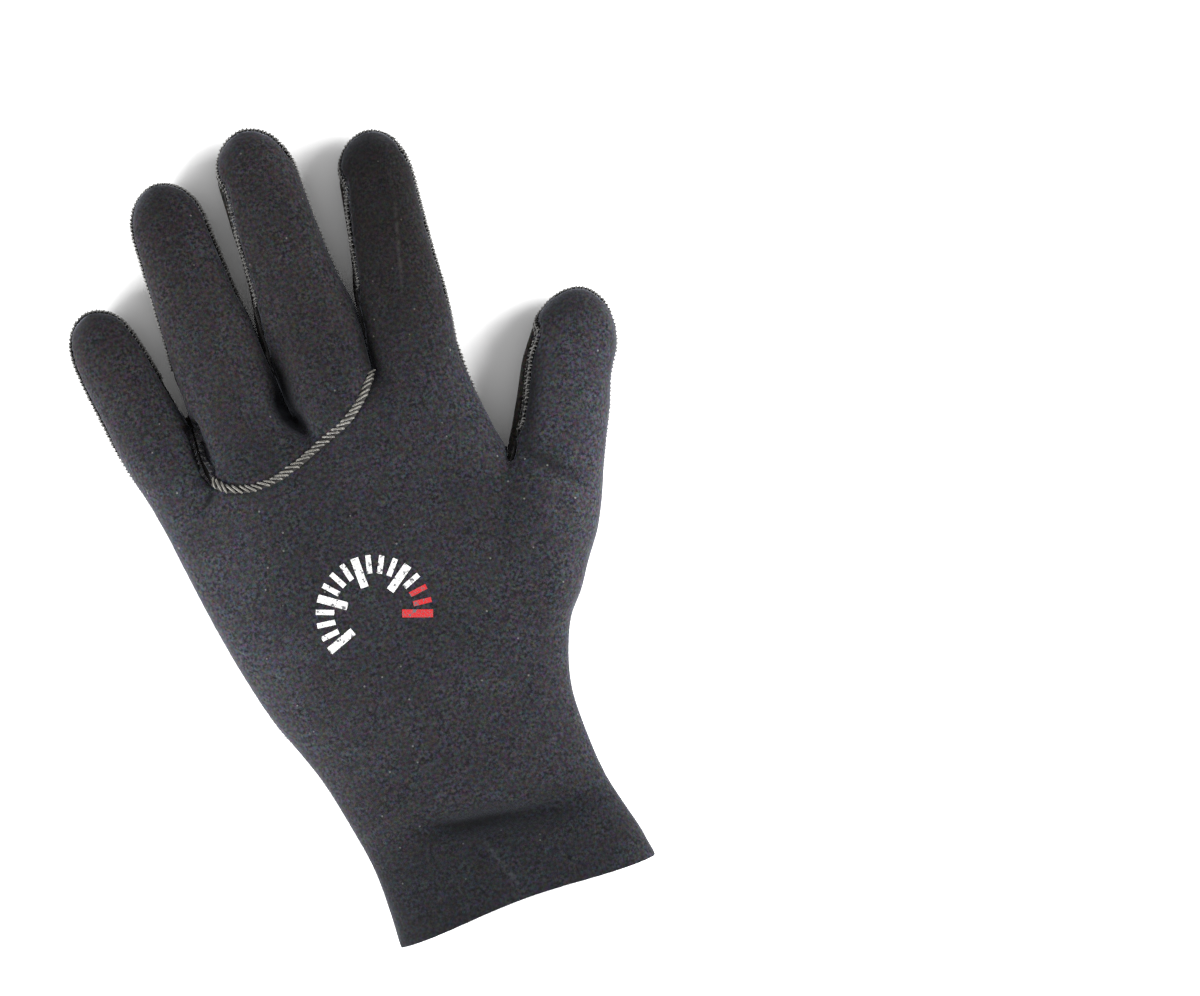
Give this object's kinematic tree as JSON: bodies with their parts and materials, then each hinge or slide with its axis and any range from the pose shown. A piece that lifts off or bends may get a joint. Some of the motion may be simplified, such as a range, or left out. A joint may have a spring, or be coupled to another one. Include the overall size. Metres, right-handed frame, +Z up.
{
  "type": "diving glove",
  "caption": "Neoprene diving glove for the left hand, lying palm down, with hollow digits, an open cut cuff, a sewn knuckle insert and a gripped palm.",
  "frame": {"origin": "middle of the flat patch of the palm that the glove rests on", "axes": "+X towards the thumb, +Y towards the fingertips, +Z up out of the back of the hand"},
  "size_m": [0.1735, 0.2714, 0.0313],
  "materials": {
    "neoprene": "matte charcoal nylon facing on closed-cell neoprene",
    "grip_neoprene": "matte brown-black facing with small glossy grip dots"
  },
  "bodies": {
    "root": {"back_panel": "neoprene", "knuckle_panel": "neoprene", "palm_panel": "grip_neoprene"}
  },
  "joints": []
}
